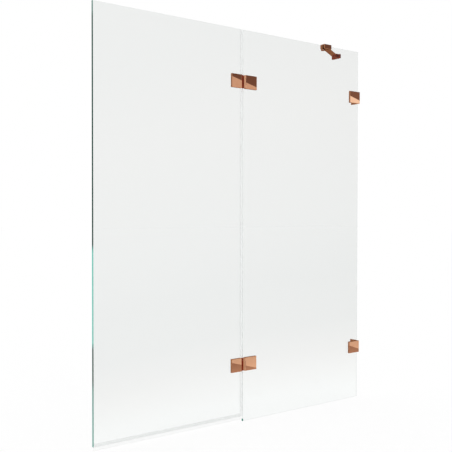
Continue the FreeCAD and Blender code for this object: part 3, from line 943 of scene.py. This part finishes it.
@dataclass
class Studio:
    """White set: even white light, a white floor and a grey surround that only mirrors show."""

    floor_size: float = 60.0
    floor_shadow: float = 0.08
    wall_r: float = 6.0
    wall_low: float = -4.5
    wall_high: float = 7.0
    ramp_low: float = -2.0
    ramp_high: float = 3.0
    ramp: tuple[tuple[float, str], ...] = (
        (-1.6, "#FFFFFF"), (-1.36, "#DCD4D1"), (-1.14, "#AA9B97"), (-0.8, "#504846"),
        (-0.25, "#2E2928"), (0.4, "#756C6A"), (1.6, "#8A7874"), (2.1, "#7A6866"), (2.55, "#685957"))
    tilt: float = 0.25
    tilt_x: float = 2.5
    wall_glow: float = 1.25
    back_grey: str = "#A28E7F"
    back_warm: str = "#8F6646"
    warm_start: float = -1.0
    warm_full: float = 1.0
    back_start: float = 0.5
    back_full: float = 1.5
    light_grey: str = "#D4D1D0"
    light_start: tuple[float, float, float] = (1.55, 0.3, -2.0)
    light_full: tuple[float, float, float] = (1.25, -0.3, -0.6)
    segments: int = 96

    def world(self) -> None:
        """Light the set evenly from all sides with white."""
        world = bpy.data.worlds.new("white_studio")
        world.use_nodes = True
        tree = world.node_tree
        tree.nodes.clear()
        light = add_node(tree, "ShaderNodeBackground", inputs={"Color": WHITE, "Strength": 1.0})
        add_node(tree, "ShaderNodeOutputWorld", inputs={"Surface": light.outputs[0]})
        bpy.context.scene.world = world

    def floor(self) -> bpy.types.Object:
        """Make the plain white floor that the screen stands on.

        Returns:
            The floor.
        """
        made, tree = new_material("white_floor")
        path = add_node(tree, "ShaderNodeLightPath")
        looked_at = add_node(tree, "ShaderNodeMath", {"operation": "MAXIMUM"},
                             {0: path.outputs["Is Camera Ray"], 1: path.outputs["Is Transmission Ray"]})
        share = add_node(tree, "ShaderNodeMapRange", inputs={"Value": looked_at.outputs[0], "To Min": 0.0,
                                                            "To Max": 1.0 - self.floor_shadow})
        shaded = add_node(tree, "ShaderNodeBsdfDiffuse", inputs={"Color": WHITE})
        plain = add_node(tree, "ShaderNodeEmission", inputs={"Color": WHITE, "Strength": 1.0})
        seen = add_node(tree, "ShaderNodeMixShader",
                        inputs={0: share.outputs[0], 1: shaded.outputs[0], 2: plain.outputs[0]})
        through = add_node(tree, "ShaderNodeBsdfTransparent")
        shader = add_node(tree, "ShaderNodeMixShader",
                          inputs={0: self.mirrored(tree).outputs[0], 1: seen.outputs[0],
                                  2: through.outputs[0]})
        output(tree, shader)
        shape = bmesh.new()
        bmesh.ops.create_grid(shape, x_segments=1, y_segments=1, size=self.floor_size / 2)
        floor = self.stage_object("floor", shape, made)
        floor.visible_glossy = False
        return floor

    @staticmethod
    def stage_object(name: str, shape: bmesh.types.BMesh,
                     material: bpy.types.Material) -> bpy.types.Object:
        """Turn a finished bmesh into a thing of the set.

        Args:
            name: the thing's name.
            shape: finished bmesh, which is freed.
            material: its material.

        Returns:
            The new object.
        """
        mesh = bpy.data.meshes.new(name)
        shape.to_mesh(mesh)
        shape.free()
        mesh.materials.append(material)
        made = bpy.data.objects.new(name, mesh)
        bpy.context.scene.collection.objects.link(made)
        return made

    @staticmethod
    def smooth_step(tree: bpy.types.NodeTree, value: bpy.types.NodeSocket, start: float,
                    full: float) -> bpy.types.Node:
        """Add a soft step.

        Args:
            tree: node tree that gets the node.
            value: coordinate that the step runs along.
            start: where the result leaves 0.
            full: where the result reaches 1.

        Returns:
            The map range node.
        """
        return add_node(tree, "ShaderNodeMapRange", {"interpolation_type": "SMOOTHSTEP"},
                        {"Value": value, "From Min": start, "From Max": full})

    @staticmethod
    def mirrored(tree: bpy.types.NodeTree) -> bpy.types.Node:
        """Tell rays that come from a mirror from those that come straight or through glass.

        Args:
            tree: node tree that gets the nodes.

        Returns:
            Node that gives 1 for a mirrored ray.
        """
        path = add_node(tree, "ShaderNodeLightPath")
        turned = add_node(tree, "ShaderNodeMath", {"operation": "GREATER_THAN"},
                          {0: path.outputs["Glossy Depth"], 1: HALF_BOUNCE})
        straight = add_node(tree, "ShaderNodeMath", {"operation": "LESS_THAN"},
                            {0: path.outputs["Diffuse Depth"], 1: HALF_BOUNCE})
        return add_node(tree, "ShaderNodeMath", {"operation": "MULTIPLY"},
                        {0: turned.outputs[0], 1: straight.outputs[0]})

    def surround_colour(self, tree: bpy.types.NodeTree) -> bpy.types.Node:
        """Colour the wall round the set: shades of grey in front, warm at the back, light at the left.

        Args:
            tree: node tree that gets the nodes.

        Returns:
            Node that gives the colour.
        """
        place = add_node(tree, "ShaderNodeTexCoord")
        point = add_node(tree, "ShaderNodeSeparateXYZ", inputs={0: place.outputs["Object"]})
        sloped = add_node(tree, "ShaderNodeMath", {"operation": "MULTIPLY_ADD"},
                          {0: point.outputs["X"], 1: -self.tilt, 2: point.outputs["Z"]})
        shift = self.tilt * self.tilt_x
        height = add_node(tree, "ShaderNodeMapRange", {"clamp": True},
                          {"Value": sloped.outputs[0], "From Min": self.ramp_low - shift,
                           "From Max": self.ramp_high - shift})
        front = add_node(tree, "ShaderNodeValToRGB", inputs={0: height.outputs[0]})
        span = self.ramp_high - self.ramp_low
        set_stops(front.color_ramp, [((z - self.ramp_low) / span, linear(c)) for z, c in self.ramp])
        back_share = self.smooth_step(tree, point.outputs["Y"], self.back_start, self.back_full)
        steps = [self.smooth_step(tree, point.outputs[axis], start, full)
                 for axis, start, full in zip("XYZ", self.light_start, self.light_full)]
        left_front = add_node(tree, "ShaderNodeMath", {"operation": "MULTIPLY"},
                              {0: steps[0].outputs[0], 1: steps[1].outputs[0]})
        light_share = add_node(tree, "ShaderNodeMath", {"operation": "MULTIPLY"},
                               {0: left_front.outputs[0], 1: steps[2].outputs[0]})
        warm_share = self.smooth_step(tree, point.outputs["X"], self.warm_start, self.warm_full)
        back = add_node(tree, "ShaderNodeMix", {"data_type": "RGBA"},
                        {0: warm_share.outputs[0], 6: linear(self.back_grey),
                         7: linear(self.back_warm)})
        round_back = add_node(tree, "ShaderNodeMix", {"data_type": "RGBA"},
                              {0: back_share.outputs[0], 6: front.outputs[0], 7: back.outputs[2]})
        return add_node(tree, "ShaderNodeMix", {"data_type": "RGBA"},
                        {0: light_share.outputs[0], 6: round_back.outputs[2],
                         7: linear(self.light_grey)})

    def surround(self) -> bpy.types.Object:
        """Make the grey wall round the set, which rays see only after a reflection.

        Returns:
            The wall.
        """
        made, tree = new_material("grey_surround")
        colour = self.surround_colour(tree)
        light = add_node(tree, "ShaderNodeEmission", inputs={"Color": colour.outputs[2],
                                                            "Strength": self.wall_glow})
        through = add_node(tree, "ShaderNodeBsdfTransparent")
        shader = add_node(tree, "ShaderNodeMixShader",
                          inputs={0: self.mirrored(tree).outputs[0], 1: through.outputs[0],
                                  2: light.outputs[0]})
        output(tree, shader)
        shape = bmesh.new()
        middle = (cad_box[0] + cad_box[1]) / 2
        ring = bmesh.ops.create_circle(shape, segments=self.segments, radius=self.wall_r)["verts"]
        bmesh.ops.translate(shape, verts=ring, vec=(middle.x, middle.y, self.wall_low))
        grown = bmesh.ops.extrude_edge_only(shape, edges=shape.edges[:])
        top = [v for v in grown["geom"] if isinstance(v, bmesh.types.BMVert)]
        bmesh.ops.translate(shape, verts=top, vec=(0.0, 0.0, self.wall_high - self.wall_low))
        return self.stage_object("surround", shape, made)

    def build(self, eye: Vector, copper: bpy.types.Collection) -> None:
        """Make the set and the bright cards.

        Args:
            eye: the camera's place.
            copper: pieces that mirror the cards.
        """
        bpy.context.scene.view_settings.view_transform = "Standard"
        self.world()
        self.floor()
        self.surround()
        for card in SLANTED_CARDS:
            card.build(eye, copper)
        for card in SIDE_CARDS:
            card.build()


def main() -> None:
    """Build the screen's looks, the set and the camera."""
    logging.basicConfig(level=logging.INFO, format="%(name)s: %(message)s")
    GlassPanels().build()
    JointSeal().build()
    BottomSeal().build()
    copper = Hardware().build()
    camera = PhotoCamera()
    camera.build()
    Studio().build(camera.place(), copper)


if __name__ == "__main__":
    main()
